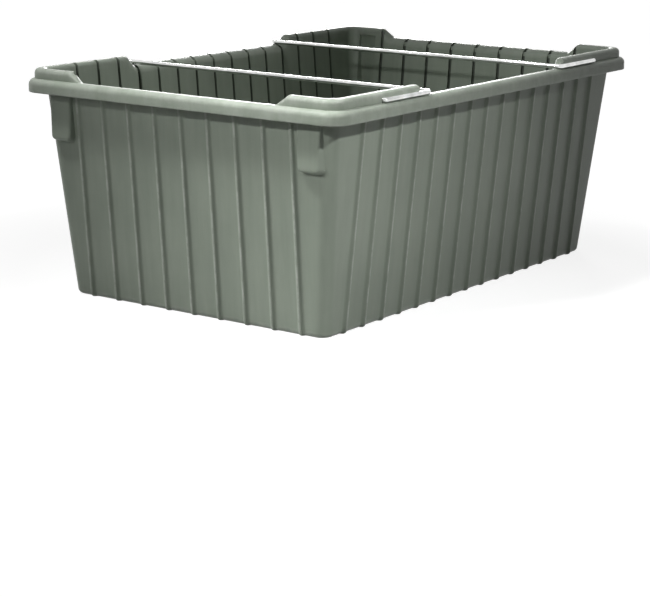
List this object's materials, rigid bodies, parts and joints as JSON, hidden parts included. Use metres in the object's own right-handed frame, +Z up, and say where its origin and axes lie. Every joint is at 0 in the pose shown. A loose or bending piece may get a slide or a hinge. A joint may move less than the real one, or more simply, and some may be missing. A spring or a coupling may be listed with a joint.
{
  "type": "tote box",
  "caption": "Tapered, ribbed plastic tote with a rolled rim, raised corners and hollow nesting lugs, and a swinging wire bail at each end of its mouth that carries the next tote when stacked.",
  "frame": {"origin": "middle of the tote's flat base, on the surface that it stands on", "axes": "+X along the length, towards the rear bail; +Y across the width; +Z up"},
  "size_m": [0.6, 0.4, 0.24],
  "materials": {
    "moulding": "satin grey-green polyethylene moulding",
    "wire": "bright zinc-plated steel wire"
  },
  "bodies": {
    "tub": {"tub": "moulding"},
    "front_bail": {"front_bail": "wire"},
    "rear_bail": {"rear_bail": "wire"}
  },
  "joints": [
    {"name": "front_bail_hinge", "type": "hinge", "parent": "tub", "child": "front_bail", "pos_m": [-0.2145, 0, 0.2322], "axis": [0, -1, 0], "range_deg": [0, 180]},
    {"name": "rear_bail_hinge", "type": "hinge", "parent": "tub", "child": "rear_bail", "pos_m": [0.2145, 0, 0.2322], "axis": [0, 1, 0], "range_deg": [0, 180]}
  ]
}
